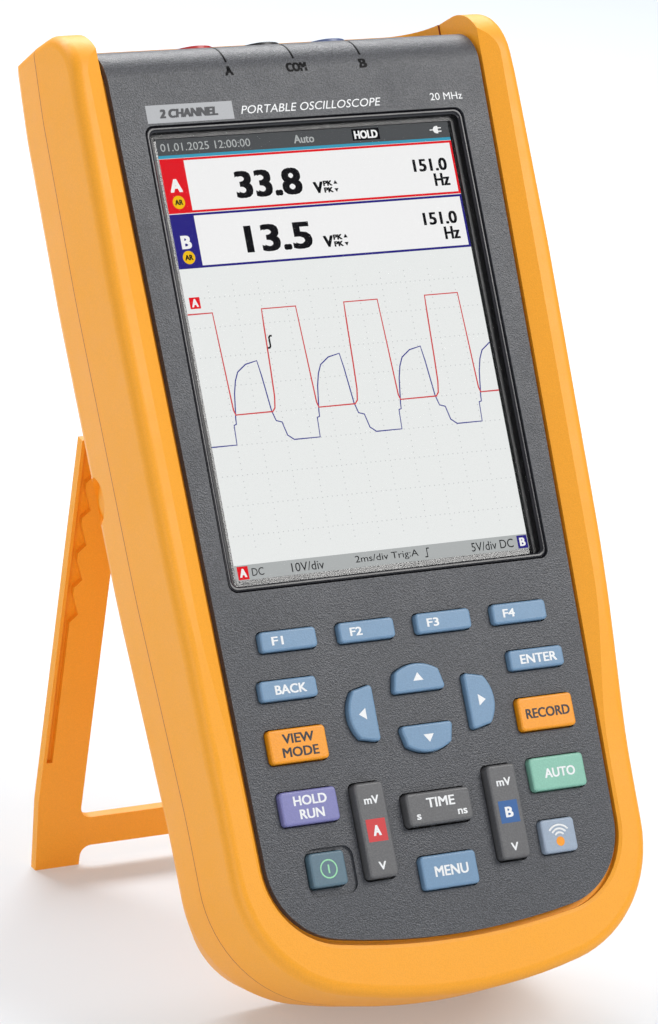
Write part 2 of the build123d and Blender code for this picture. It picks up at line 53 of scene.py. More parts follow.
along = Vector(record_mount("common_socket")["axis"]).normalized()
depth = -Vector(record_mount("back_face")["axis"]).normalized()
across = along.cross(depth)
MM = 0.001
case_origin = Vector(record_joint("stand_fold")["pos_m"]) - (along * HINGE_Y + depth * HINGE_Z) * MM
CASE = Matrix.Translation(case_origin) @ Matrix(
    (
        (across.x * MM, along.x * MM, depth.x * MM, 0),
        (across.y * MM, along.y * MM, depth.y * MM, 0),
        (across.z * MM, along.z * MM, depth.z * MM, 0),
        (0, 0, 0, 1),
    )
)
TO_CASE = CASE.inverted()

# ---- Studio ---------------------------------------------------------------------------
# A pale seamless floor, a large soft key from the front right, a strip behind the top end
# that draws a highlight on the panel's roll, and two weak boxes on the left that light the
# side of the case and the stand.
FLOOR_HALF = 4.0
LIT_MIDDLE = (0, 0, 0.12)

scene = bpy.context.scene
scene.view_settings.view_transform = "Standard"

floor_mesh = bmesh.new()
bmesh.ops.create_grid(floor_mesh, x_segments=1, y_segments=1, size=FLOOR_HALF)
floor_data = bpy.data.meshes.new("studio_floor")
floor_mesh.to_mesh(floor_data)
floor_mesh.free()
floor = bpy.data.objects.new("studio_floor", floor_data)
scene.collection.objects.link(floor)
paper = bpy.data.materials.new("studio_paper")
paper.use_nodes = True
paper_shader = paper.node_tree.nodes["Principled BSDF"]
paper_shader.inputs["Roughness"].default_value = 0.9
paper_grain = paper.node_tree.nodes.new("ShaderNodeTexNoise")
paper_grain.inputs["Scale"].default_value = 3.0
paper_tint = paper.node_tree.nodes.new("ShaderNodeMix")
paper_tint.data_type = "RGBA"
paper_tint.inputs["A"].default_value = (0.50, 0.54, 0.58, 1)
paper_tint.inputs["B"].default_value = (0.52, 0.56, 0.60, 1)
paper.node_tree.links.new(paper_grain.outputs["Fac"], paper_tint.inputs["Factor"])
paper.node_tree.links.new(paper_tint.outputs["Result"], paper_shader.inputs["Base Color"])
paper_shader.inputs["Emission Color"].default_value = (1, 1, 1, 1)
paper_shader.inputs["Emission Strength"].default_value = 0.24
paper_shader.inputs["Specular IOR Level"].default_value = 0.1
floor.data.materials.append(paper)

world = bpy.data.worlds.new("studio_air")
world.use_nodes = True
world.node_tree.nodes["Background"].inputs["Color"].default_value = (0.95, 0.97, 1.0, 1)
world.node_tree.nodes["Background"].inputs["Strength"].default_value = 0.30
scene.world = world


def softbox(name, place, aim, size, watts, tint=(1, 1, 1)):
    light = bpy.data.lights.new(name, "AREA")
    light.shape = "RECTANGLE"
    light.size, light.size_y = size
    light.energy = watts
    light.color = tint
    lamp = bpy.data.objects.new(name, light)
    scene.collection.objects.link(lamp)
    lamp.location = place
    lamp.rotation_euler = (Vector(aim) - Vector(place)).to_track_quat("-Z", "Y").to_euler()


softbox("key_light", (0.72, -0.62, 1.12), LIT_MIDDLE, (0.75, 0.75), 13.5, (1, 0.985, 0.96))
softbox("top_strip", (0.1, 0.9, 0.95), (0, 0.05, 0.2), (1.4, 0.35), 20)
softbox("left_back_box", (-1.15, 0.45, 0.5), LIT_MIDDLE, (0.7, 0.9), 2.5)
softbox("front_left_fill", (-0.85, -1.0, 0.45), LIT_MIDDLE, (0.6, 0.8), 4.5)

# The camera stands to the left of the instrument and a little above it, turned slightly
# about its own view line. Its place is given in the case's millimetres from the display.
DISPLAY_CENTRE = Vector((0, 168.0, 50.6))
CAMERA_FROM_DISPLAY = Vector((-635.0, -222.0, 1109.0))
CAMERA_ASIDE = 0.4
camera_data = bpy.data.cameras.new("camera")
camera_data.lens = 175.8
camera_data.clip_end = 20
camera = bpy.data.objects.new("camera", camera_data)
scene.collection.objects.link(camera)
camera_right = Vector((0.870, -0.182, 0.458)).normalized()
camera_back = Vector((-0.484, -0.140, 0.863)).normalized()
camera_up = camera_back.cross(camera_right).normalized()
camera_right = camera_up.cross(camera_back)
turn = Matrix((camera_right, camera_up, camera_back)).transposed()
case_turn = Matrix((across, along, depth)).transposed()
camera_place = CASE @ (DISPLAY_CENTRE + CAMERA_FROM_DISPLAY - CAMERA_ASIDE * camera_right)
camera.matrix_world = Matrix.Translation(camera_place) @ (case_turn @ turn).to_4x4()
scene.camera = camera


# ---- Yellow case ----------------------------------------------------------------------
# Two shells, the battery door and the tilt stand, moulded in one warm yellow under a thin
# soft-touch skin. The shells are screwed together from behind along a thin parting line.
# Grain, worn edges and handling marks are node groups, shared with the other mouldings.
def effect_group(name, inputs, outputs):
    group = bpy.data.node_groups.new(name, "ShaderNodeTree")
    for label, value in inputs:
        socket = group.interface.new_socket(label, in_out="INPUT", socket_type="NodeSocketFloat")
        socket.default_value = value
    for label, kind in outputs:
        group.interface.new_socket(label, in_out="OUTPUT", socket_type=kind)
    source = group.nodes.new("NodeGroupInput")
    target = group.nodes.new("NodeGroupOutput")
    return group, source, target


def noise_node(tree, size_mm, detail=2.0, place=None):
    """A noise whose cells are about size_mm across, in object coordinates."""
    if place is None:
        place = tree.nodes.new("ShaderNodeTexCoord").outputs["Object"]
    node = tree.nodes.new("ShaderNodeTexNoise")
    node.inputs["Scale"].default_value = 1000.0 / size_mm
    node.inputs["Detail"].default_value = detail
    tree.links.new(place, node.inputs["Vector"])
    return node


def value_node(tree, operation, first, second=None, clamp=False):
    node = tree.nodes.new("ShaderNodeMath")
    node.operation = operation
    node.use_clamp = clamp
    for socket, entry in zip(node.inputs, (first, second)):
        if entry is None:
            continue
        if isinstance(entry, (int, float)):
            socket.default_value = entry
        else:
            tree.links.new(entry, socket)
    return node.outputs[0]


def mix_node(tree, factor, first, second):
    node = tree.nodes.new("ShaderNodeMix")
    node.data_type = "RGBA"
    for socket, entry in (("Factor", factor), ("A", first), ("B", second)):
        if isinstance(entry, (int, float)):
            node.inputs[socket].default_value = entry
        elif isinstance(entry, (tuple, list)):
            node.inputs[socket].default_value = (*entry[:3], 1)
        else:
            tree.links.new(entry, node.inputs[socket])
    return node.outputs["Result"]


def remap_node(tree, value, low, high, to_low=0.0, to_high=1.0):
    node = tree.nodes.new("ShaderNodeMapRange")
    tree.links.new(value, node.inputs["Value"])
    for label, number in (("From Min", low), ("From Max", high), ("To Min", to_low), ("To Max", to_high)):
        node.inputs[label].default_value = number
    return node.outputs["Result"]


grain_group, grain_in, grain_out = effect_group(
    "moulded_grain", (("Cell mm", 0.5),), (("Height", "NodeSocketFloat"), ("Speck", "NodeSocketFloat"))
)
grain_place = grain_group.nodes.new("ShaderNodeTexCoord").outputs["Object"]
grain_scale = value_node(grain_group, "DIVIDE", 1000.0, grain_in.outputs["Cell mm"])
grain_noise = grain_group.nodes.new("ShaderNodeTexNoise")
grain_noise.inputs["Detail"].default_value = 3.0
grain_group.links.new(grain_place, grain_noise.inputs["Vector"])
grain_group.links.new(grain_scale, grain_noise.inputs["Scale"])
grain_cells = grain_group.nodes.new("ShaderNodeTexVoronoi")
grain_group.links.new(grain_place, grain_cells.inputs["Vector"])
grain_group.links.new(grain_scale, grain_cells.inputs["Scale"])
grain_sum = value_node(grain_group, "ADD", grain_noise.outputs["Fac"], grain_cells.outputs["Distance"])
grain_group.links.new(grain_sum, grain_out.inputs["Height"])
grain_group.links.new(
    remap_node(grain_group, grain_noise.outputs["Fac"], 0.42, 0.62), grain_out.inputs["Speck"]
)

wear_group, wear_in, wear_out = effect_group(
    "edge_wear", (("Radius mm", 0.6),), (("Edge", "NodeSocketFloat"),)
)
wear_bevel = wear_group.nodes.new("ShaderNodeBevel")
wear_bevel.samples = 4
wear_radius = value_node(wear_group, "MULTIPLY", wear_in.outputs["Radius mm"], MM)
wear_group.links.new(wear_radius, wear_bevel.inputs["Radius"])
wear_flat = wear_group.nodes.new("ShaderNodeNewGeometry")
wear_dot = wear_group.nodes.new("ShaderNodeVectorMath")
wear_dot.operation = "DOT_PRODUCT"
wear_group.links.new(wear_bevel.outputs["Normal"], wear_dot.inputs[0])
wear_group.links.new(wear_flat.outputs["Normal"], wear_dot.inputs[1])
wear_mask = remap_node(wear_group, wear_dot.outputs["Value"], 0.995, 0.86)
wear_break = remap_node(wear_group, noise_node(wear_group, 4.0, 4.0).outputs["Fac"], 0.45, 0.7)
wear_edge = value_node(wear_group, "MULTIPLY", wear_mask, wear_break, True)
wear_group.links.new(wear_edge, wear_out.inputs["Edge"])

marks_group, _, marks_out = effect_group(
    "handling_marks", (), (("Gloss change", "NodeSocketFloat"), ("Cloud", "NodeSocketFloat"))
)
marks_cloud = noise_node(marks_group, 28.0, 3.0).outputs["Fac"]
marks_streak = noise_node(marks_group, 5.0, 5.0).outputs["Fac"]
marks_both = value_node(marks_group, "MULTIPLY", marks_cloud, marks_streak)
marks_gloss = remap_node(marks_group, marks_both, 0.1, 0.45, -0.05, 0.06)
marks_group.links.new(marks_gloss, marks_out.inputs["Gloss change"])
marks_group.links.new(marks_cloud, marks_out.inputs["Cloud"])


def placed_group(tree, group, **values):
    node = tree.nodes.new("ShaderNodeGroup")
    node.node_tree = group
    for label, number in values.items():
        node.inputs[label.replace("_", " ")].default_value = number
    return node


def moulded_plastic(name, colour, rough, cell_mm, bump, speck, wear, coat=0.0):
    """A moulded plastic with its own grain, speckle, worn edges and handling marks."""
    material = bpy.data.materials.new(name)
    material.use_nodes = True
    tree = material.node_tree
    shader = tree.nodes["Principled BSDF"]
    grain = placed_group(tree, grain_group, Cell_mm=cell_mm)
    edges = placed_group(tree, wear_group, Radius_mm=0.7)
    marks = placed_group(tree, marks_group)
    darker = tuple(c * (1 - 2.2 * speck) for c in colour)
    lighter = tuple(min(1.0, c * (1 + 2.2 * speck) + 0.02 * speck) for c in colour)
    body = mix_node(tree, grain.outputs["Speck"], darker, lighter)
    clouded = mix_node(tree, value_node(tree, "MULTIPLY", marks.outputs["Cloud"], 0.12), body, darker)
    pale = tuple(min(1.0, c * 1.25 + 0.04) for c in colour)
    edge = value_node(tree, "MULTIPLY", edges.outputs["Edge"], wear)
    tree.links.new(mix_node(tree, edge, clouded, pale), shader.inputs["Base Color"])
    gloss = value_node(tree, "ADD", marks.outputs["Gloss change"], rough, True)
    tree.links.new(gloss, shader.inputs["Roughness"])
    height = tree.nodes.new("ShaderNodeBump")
    height.inputs["Strength"].default_value = bump
    height.inputs["Distance"].default_value = cell_mm * MM * 0.5
    tree.links.new(grain.outputs["Height"], height.inputs["Height"])
    tree.links.new(height.outputs["Normal"], shader.inputs["Normal"])
    if coat:
        shader.inputs["Coat Weight"].default_value = coat
        shader.inputs["Coat Roughness"].default_value = 0.25
    return material


def dress(material, *names):
    """Give CAD nodes their finish."""
    for name in names:
        data = frame["nodes"][name].data
        data.materials.clear()
        data.materials.append(material)


def case_box(node):
    """Lowest and highest corner of a CAD node in the case's own millimetres."""
    corners = [TO_CASE @ v.co for v in frame["nodes"][node].data.vertices]
    low = Vector([min(c[i] for c in corners) for i in range(3)])
    high = Vector([max(c[i] for c in corners) for i in range(3)])
    return low, high


PARTING_DEPTH = case_box("front_shell")[0].z
PARTING_HALF = 0.22


def parting_line(material):
    """Darken a thin red-brown line round the sides, where the two shells meet."""
    tree = material.node_tree
    shader = tree.nodes["Principled BSDF"]
    place = tree.nodes.new("ShaderNodeTexCoord").outputs["Object"]
    measure = tree.nodes.new("ShaderNodeVectorMath")
    measure.operation = "DOT_PRODUCT"
    tree.links.new(place, measure.inputs[0])
    measure.inputs[1].default_value = depth / MM
    level = case_origin.dot(depth) / MM + PARTING_DEPTH
    away = value_node(tree, "ABSOLUTE", value_node(tree, "SUBTRACT", measure.outputs["Value"], level))
    line = remap_node(tree, away, PARTING_HALF, PARTING_HALF * 0.6)
    colour = shader.inputs["Base Color"].links[0].from_socket
    tree.links.new(mix_node(tree, line, colour, (0.33, 0.05, 0.012)), shader.inputs["Base Color"])


case_yellow = moulded_plastic(
    "case_yellow", (0.93, 0.375, 0.016), 0.50, cell_mm=0.35, bump=0.10, speck=0.015, wear=0.12
)
dress(case_yellow, "battery_door", "tilt_stand")
shell_yellow = case_yellow.copy()
shell_yellow.name = "shell_yellow"
parting_line(shell_yellow)
dress(shell_yellow, "front_shell", "rear_shell")

# ---- Front panel ----------------------------------------------------------------------
# A dark grey moulding with a fine spark texture and pale flecks. It carries the window and
# the keys, and rolls over the top end down to the floor that the sockets stand in.
panel_grey = moulded_plastic(
    "panel_grey", (0.064, 0.067, 0.077), 0.42, cell_mm=0.40, bump=0.36, speck=0.14, wear=0.3
)
dress(panel_grey, "front_panel")

# ---- Keys -----------------------------------------------------------------------------
# Hard satin key caps with printed legends. Each cap slides in its own hole on a dome of
# the silicone sheet. Legends are ink films, made bold by shifted copies.
key_blue = moulded_plastic("key_blue", (0.16, 0.28, 0.43), 0.36, 0.4, 0.08, 0.02, 0.35)
key_orange = moulded_plastic("key_orange", (0.88, 0.32, 0.008), 0.36, 0.4, 0.08, 0.02, 0.3)
key_violet = moulded_plastic("key_violet", (0.20, 0.20, 0.44), 0.36, 0.4, 0.08, 0.02, 0.35)
key_mint = moulded_plastic("key_mint", (0.23, 0.50, 0.39), 0.36, 0.4, 0.08, 0.02, 0.35)
key_teal = moulded_plastic("key_teal", (0.10, 0.17, 0.22), 0.38, 0.4, 0.08, 0.02, 0.35)
key_pale = moulded_plastic("key_pale", (0.31, 0.38, 0.48), 0.38, 0.4, 0.08, 0.02, 0.35)
rocker_grey = moulded_plastic("rocker_grey", (0.115, 0.115, 0.12), 0.42, 0.4, 0.1, 0.05, 0.3)
dress(key_blue, "key_f1", "key_f2", "key_f3", "key_f4", "key_back", "key_enter", "key_menu")
dress(key_blue, "key_up", "key_down", "key_left", "key_right")
dress(key_orange, "key_mode", "key_record")
dress(key_violet, "key_hold")
dress(key_mint, "key_auto")
dress(key_teal, "key_power")
dress(key_pale, "key_wireless")
dress(rocker_grey, "rocker_range_a", "rocker_range_b", "rocker_time")


def legend_ink(name, colour):
    """Screen-printed ink: a thin, slightly uneven matt film."""
    material = bpy.data.materials.new(name)
    material.use_nodes = True
    tree = material.node_tree
    shader = tree.nodes["Principled BSDF"]
    mottle = remap_node(tree, noise_node(tree, 0.35, 3.0).outputs["Fac"], 0.3, 0.7)
    thin = tuple(c * 0.9 for c in colour)
    tree.links.new(mix_node(tree, mottle, thin, colour), shader.inputs["Base Color"])
    tree.links.new(remap_node(tree, mottle, 0.0, 1.0, 0.42, 0.55), shader.inputs["Roughness"])
    return material


white_ink = legend_ink("white_ink", (0.86, 0.87, 0.88))
dark_ink = legend_ink("dark_ink", (0.02, 0.022, 0.03))


def printed(name, data, material, body):
    """Put a finished flat print, drawn in the case's millimetres, on a body."""
    data.transform(CASE)
    piece = bpy.data.objects.new(name, data)
    scene.collection.objects.link(piece)
    data.materials.clear()
    data.materials.append(material)
    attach(piece, body)
    return piece


INK_FILM = 0.03
BOLD_SHIFTS = ((-1, -0.5), (-1, 0.5), (0, 0), (1, -0.5), (1, 0.5))


def lettering(text, x, y, z, height, width, bold=0.0, slant=0.0, align="CENTER"):
    """Flat lettering centred on a place, made bold by shifted copies; all in millimetres."""
    curve = bpy.data.curves.new("lettering", "FONT")
    curve.body = text
    curve.align_x = align
    curve.shear = slant
    curve.extrude = 0.5
    curve.resolution_u = 3
    curve.space_line = 1.02
    maker = bpy.data.objects.new("lettering", curve)
    scene.collection.objects.link(maker)
    bpy.context.view_layer.update()
    data = bpy.data.meshes.new_from_object(maker.evaluated_get(bpy.context.evaluated_depsgraph_get()))
    bpy.data.objects.remove(maker)
    bpy.data.curves.remove(curve)
    xs = [v.co.x for v in data.vertices]
    ys = [v.co.y for v in data.vertices]
    tall = (height - bold) / (max(ys) - min(ys))
    wide = (width - 2 * bold) / (max(xs) - min(xs))
    centre_x = {"LEFT": min(xs), "CENTER": (min(xs) + max(xs)) / 2, "RIGHT": max(xs)}[align]
    centre = Vector((centre_x, (min(ys) + max(ys)) / 2, -0.5))
    data.transform(Matrix.Translation(-centre))
    data.transform(Matrix.Diagonal((wide, tall, INK_FILM, 1)))
    data.transform(Matrix.Translation((x, y, z)))
    if not bold:
        return data
    whole = bmesh.new()
    for step, (move_x, move_y) in enumerate(BOLD_SHIFTS):
        copy = data.copy()
        copy.transform(Matrix.Translation((move_x * bold, move_y * bold, step * 0.002)))
        whole.from_mesh(copy)
        bpy.data.meshes.remove(copy)
    whole.to_mesh(data)
    whole.free()
    return data


def stroke(points, z, width, closed=False):
    """A printed line of constant width through some points, in millimetres."""
    curve = bpy.data.curves.new("stroke", "CURVE")
    curve.dimensions = "3D"
    curve.bevel_depth = width / 2
    curve.bevel_resolution = 1
    curve.use_fill_caps = True
    spline = curve.splines.new("POLY")
    spline.points.add(len(points) - 1)
    for spot, (px, py) in zip(spline.points, points):
        spot.co = (px, py, 0, 1)
    spline.use_cyclic_u = closed
    maker = bpy.data.objects.new("stroke", curve)
    scene.collection.objects.link(maker)
    bpy.context.view_layer.update()
    data = bpy.data.meshes.new_from_object(maker.evaluated_get(bpy.context.evaluated_depsgraph_get()))
    bpy.data.objects.remove(maker)
    bpy.data.curves.remove(curve)
    data.transform(Matrix.Diagonal((1, 1, INK_FILM / width, 1)))
    data.transform(Matrix.Translation((0, 0, z + INK_FILM / 2)))
    return data


def patch(corners, z):
    """A flat printed patch with a few corners, in millimetres."""
    shape = bmesh.new()
    shape.faces.new([shape.verts.new((px, py, z)) for px, py in corners])
    shape.faces.ensure_lookup_table()
    raised = bmesh.ops.extrude_face_region(shape, geom=list(shape.faces))
    tops = [g for g in raised["geom"] if isinstance(g, bmesh.types.BMVert)]
    bmesh.ops.translate(shape, verts=tops, vec=(0, 0, INK_FILM))
    bmesh.ops.recalc_face_normals(shape, faces=shape.faces)
    data = bpy.data.meshes.new("patch")
    shape.to_mesh(data)
    shape.free()
    return data


def box_corners(x0, x1, y0, y1):
    return [(x0, y0), (x1, y0), (x1, y1), (x0, y1)]


def joined(parts):
    """Several flat prints as one mesh."""
    whole = bmesh.new()
    for data in parts:
        whole.from_mesh(data)
        bpy.data.meshes.remove(data)
    data = bpy.data.meshes.new("print")
    whole.to_mesh(data)
    whole.free()
    return data


def arc_points(x, y, radius, start, end, count=16):
    """Points of an arc about a centre, from a start to an end angle in degrees."""
    angles = [math.radians(start + (end - start) * i / (count - 1)) for i in range(count)]
    return [(x + radius * math.cos(a), y + radius * math.sin(a)) for a in angles]


def key_face(node):
    """Centre of a key's top face, and its depth."""
    low, high = case_box(node)
    return (low.x + high.x) / 2, (low.y + high.y) / 2, high.z


for node, words, aside, tall, wide, ink in (
    ("key_f1", "F1", -3.3, 2.2, 3.4, white_ink),
    ("key_f2", "F2", -3.3, 2.2, 3.6, white_ink),
    ("key_f3", "F3", -3.3, 2.2, 3.6, white_ink),
    ("key_f4", "F4", -3.3, 2.2, 3.6, white_ink),
    ("key_back", "BACK", 0.5, 2.4, 9.1, white_ink),
    ("key_enter", "ENTER", 0.5, 2.4, 11.1, white_ink),
    ("key_mode", "VIEW\nMODE", 0.3, 6.0, 10.4, dark_ink),
    ("key_record", "RECORD", 0.3, 2.6, 13.3, dark_ink),
    ("key_hold", "HOLD\nRUN", 0.3, 6.0, 9.6, white_ink),
    ("key_auto", "AUTO", 0.4, 2.5, 9.3, white_ink),
    ("key_menu", "MENU", 0.4, 2.7, 9.9, white_ink),
):
    key_x, key_y, key_z = key_face(node)
    words_mesh = lettering(words, key_x + aside, key_y, key_z, tall, wide, bold=0.10)
    printed(node + "_legend", words_mesh, ink, node)

ARROW = (Vector((-1.5, -0.9, 0)), Vector((1.5, -0.9, 0)), Vector((0, 1.2, 0)))
for node, turn_deg in (("key_up", 0), ("key_left", 90), ("key_down", 180), ("key_right", 270)):
    key_x, key_y, key_z = key_face(node)
    arrow_turn = Matrix.Rotation(math.radians(turn_deg), 3, "Z")
    corners = [(key_x + (arrow_turn @ tip).x, key_y + (arrow_turn @ tip).y) for tip in ARROW]
    printed(node + "_legend", patch(corners, key_z), white_ink, node)

power_green = legend_ink("power_green", (0.35, 0.75, 0.45))
px, py, pz = key_face("key_power")
power_sign = [
    stroke(arc_points(px, py, 2.3, 0, 345, 24), pz, 0.42, closed=True),
    stroke([(px, py - 1.1), (px, py + 1.1)], pz, 0.5),
]
printed("key_power_legend", joined(power_sign), power_green, "key_power")

px, py, pz = key_face("key_wireless")
waves = [stroke(arc_points(px, py - 0.9, r, 40, 140, 12), pz, 0.55) for r in (1.6, 2.6, 3.6)]
printed("key_wireless_legend", joined(waves), white_ink, "key_wireless")
dot_orange = legend_ink("dot_orange", (0.93, 0.33, 0.01))
printed(
    "key_wireless_dot",
    patch(arc_points(px, py - 1.6, 1.25, 0, 337.5, 16), pz),
    dot_orange,
    "key_wireless",
)

# ---- Rockers --------------------------------------------------------------------------
# Range rockers for the two inputs and one for the time base: grey mouldings that tilt on
# small pivots, with white prints and a coloured patch behind each input letter.
mark_red = legend_ink("mark_red", (0.62, 0.035, 0.04))
mark_blue = legend_ink("mark_blue", (0.02, 0.11, 0.33))
for node, letter, ink in (("rocker_range_a", "A", mark_red), ("rocker_range_b", "B", mark_blue)):
    rx, ry, rz = key_face(node)
    letter_patch = patch(box_corners(rx - 2.8, rx + 2.8, ry - 3.0, ry + 2.8), rz)
    printed(node + "_patch", letter_patch, ink, node)
    words = [
        lettering("mV", rx, ry + 7.7, rz, 2.1, 4.3, bold=0.08),
        lettering("V", rx - 0.2, ry - 9.2, rz, 2.1, 2.2, bold=0.08),
        lettering(letter, rx, ry - 0.2, rz + 0.03, 2.7, 2.3, bold=0.16),
    ]
    printed(node + "_legend", joined(words), white_ink, node)
rx, ry, rz = key_face("rocker_time")
words = [
    lettering("TIME", rx + 0.4, ry + 1.3, rz, 2.5, 8.3, bold=0.10),
    lettering("s", rx - 6.6, ry - 2.0, rz, 1.4, 1.3, bold=0.07),
    lettering("ns", rx + 6.3, ry - 2.0, rz, 1.4, 2.8, bold=0.07),
]
printed("rocker_time_legend", joined(words), white_ink, "rocker_time")

# ---- Display --------------------------------------------------------------------------
# A lit liquid crystal panel behind a clear window with a black rubber frame. The picture
# is drawn in thin layers just above the glass.
SCREEN_SCALE = 1.01
SCREEN_SHIFT = (0.3, 1.0)
glass_top = case_box("lcd_panel")[1].z


def screen_ink(name, colour, glow=0.92):
    """Lit liquid crystal: a colour that glows, with a faint fine shimmer."""
    material = bpy.data.materials.new(name)
    material.use_nodes = True
    tree = material.node_tree
    shader = tree.nodes["Principled BSDF"]
    shimmer = remap_node(tree, noise_node(tree, 0.24, 1.0).outputs["Fac"], 0.3, 0.7)
    lit = mix_node(tree, shimmer, tuple(c * 0.965 for c in colour), colour)
    tree.links.new(lit, shader.inputs["Emission Color"])
    shader.inputs["Emission Strength"].default_value = glow
    dim = mix_node(tree, shimmer, tuple(c * 0.04 for c in colour), tuple(c * 0.05 for c in colour))
    tree.links.new(dim, shader.inputs["Base Color"])
    shader.inputs["Roughness"].default_value = 0.35
    shader.inputs["Specular IOR Level"].default_value = 0.0
    return material


lit_white = screen_ink("lit_white", (0.88, 0.90, 0.89))
lit_paper = screen_ink("lit_paper", (0.95, 0.95, 0.95))
lit_grey = screen_ink("lit_grey", (0.085, 0.09, 0.095))
lit_silver = screen_ink("lit_silver", (0.46, 0.48, 0.48))
lit_cyan = screen_ink("lit_cyan", (0.05, 0.35, 0.52))
lit_red = screen_ink("lit_red", (0.80, 0.012, 0.02))
lit_navy = screen_ink("lit_navy", (0.025, 0.02, 0.23))
lit_black = screen_ink("lit_black", (0.006, 0.006, 0.008))
lit_yellow = screen_ink("lit_yellow", (0.93, 0.55, 0.01))
trace_red = screen_ink("trace_red", (0.68, 0.07, 0.075))
trace_blue = screen_ink("trace_blue", (0.055, 0.06, 0.30))


def shown(name, layer, parts, material):
    """Draw parts of the picture, given about the screen's centre, on one layer."""
    data = joined(parts)
    data.transform(Matrix.Diagonal((SCREEN_SCALE, SCREEN_SCALE, 1, 1)))
    centre_y = DISPLAY_CENTRE.y + SCREEN_SHIFT[1]
    data.transform(Matrix.Translation((SCREEN_SHIFT[0], centre_y, glass_top + 0.02 + 0.04 * layer)))
    return printed(name, data, material, "case")


def bar(x0, x1, y0, y1):
    return patch(box_corners(x0, x1, y0, y1), 0)


def frame_line(x0, x1, y0, y1, line):
    """The four sides of a drawn box."""
    return [
        bar(x0, x1, y1 - line, y1),
        bar(x0, x1, y0, y0 + line),
        bar(x0, x0 + line, y0 + line, y1 - line),
        bar(x1 - line, x1, y0 + line, y1 - line),
    ]


def words_at(text, x, y, height, width, bold=0.0, align="CENTER"):
    return lettering(text, x, y, 0, height, width, bold, 0.0, align)


HALF_W, HALF_H = 43.2, 57.6
TAB_EDGE, TAB_MIDDLE = -36.3, -39.8
DOT_LEVELS = (40.8, 26.3)
STATUS_LEVEL, FOOT_LEVEL = 55.3, -55.7
shown("screen_ground", 0, [bar(-HALF_W, HALF_W, -HALF_H, HALF_H)], lit_white)
shown("screen_status_bar", 1, [bar(-HALF_W, HALF_W, 53.2, HALF_H)], lit_grey)
shown("screen_bottom_bar", 1, [bar(-HALF_W, HALF_W, -HALF_H, -53.7)], lit_silver)
shown("screen_rule", 1, [bar(-HALF_W, HALF_W, 52.4, 53.2)], lit_cyan)
reading_boxes = [bar(TAB_EDGE, 43, 38.0, 52.2), bar(TAB_EDGE, 43, 23.6, 37.6)]
shown("screen_reading_boxes", 1, reading_boxes, lit_paper)
box_a = [*frame_line(-HALF_W, HALF_W, 37.9, 52.3, 0.6), bar(-HALF_W, TAB_EDGE, 38, 52)]
shown("screen_box_a", 2, box_a, lit_red)
box_b = [*frame_line(-HALF_W, HALF_W, 23.4, 37.7, 0.6), bar(-HALF_W, TAB_EDGE, 23.6, 37.4)]
shown("screen_box_b", 2, box_b, lit_navy)
tab_letters = [
    words_at("A", TAB_MIDDLE, 45.2, 3.5, 3.5, 0.25),
    words_at("B", TAB_MIDDLE, 30.3, 3.5, 2.9, 0.25),
]
shown("screen_tab_letters", 3, tab_letters, lit_paper)
tab_dots = [patch(arc_points(TAB_MIDDLE, y, 1.75, 0, 345, 24), 0) for y in DOT_LEVELS]
shown("screen_tab_dots", 3, tab_dots, lit_yellow)
tab_marks = [words_at("AR", TAB_MIDDLE, y, 1.4, 2.3, 0.08) for y in DOT_LEVELS]
shown("screen_tab_marks", 4, tab_marks, lit_black)
readings = []
for level, value in ((45.0, "33.8"), (30.6, "13.5")):
    readings += [
        words_at(value, -13.1, level - 0.7, 7.2, 19.4, 0.42),
        words_at("V", 1.2, level - 2.9, 3.1, 2.9, 0.2),
        words_at("PK", 4.1, level - 1.9, 1.4, 2.7, 0.12),
        words_at("PK", 4.1, level - 3.7, 1.4, 2.7, 0.12),
        patch([(5.8, level - 2.2), (7.0, level - 2.2), (6.4, level - 1.2)], 0),
        patch([(5.8, level - 3.4), (6.4, level - 4.4), (7.0, level - 3.4)], 0),
        words_at("151.0", 40.4, level + 1.1, 3.4, 10.2, 0.17, "RIGHT"),
        words_at("Hz", 40.4, level - 3.0, 3.4, 4.6, 0.17, "RIGHT"),
    ]
shown("screen_readings", 3, readings, lit_black)
status_words = [
    words_at("01.01.2025 12:00:00", -42.2, STATUS_LEVEL, 2.1, 26.0, 0.0, "LEFT"),
    words_at("Auto", -0.4, STATUS_LEVEL, 2.2, 6.0, 0.06),
]
shown("screen_status_words", 2, status_words, lit_silver)
shown("screen_hold_box", 2, [bar(14.0, 22.2, 53.9, 57.0)], lit_black)
plug_sign = [
    patch(arc_points(39.4, 55.4, 1.0, 90, 270, 9) + [(39.9, 54.4), (39.9, 56.4)], 0),
    bar(39.9, 40.9, 55.7, 56.0),
    bar(39.9, 40.9, 54.8, 55.1),
    bar(37.4, 38.5, 55.27, 55.53),
]
shown("screen_hold_word", 3, [words_at("HOLD", 18.1, 55.4, 2.2, 7.0, 0.12), *plug_sign], lit_paper)

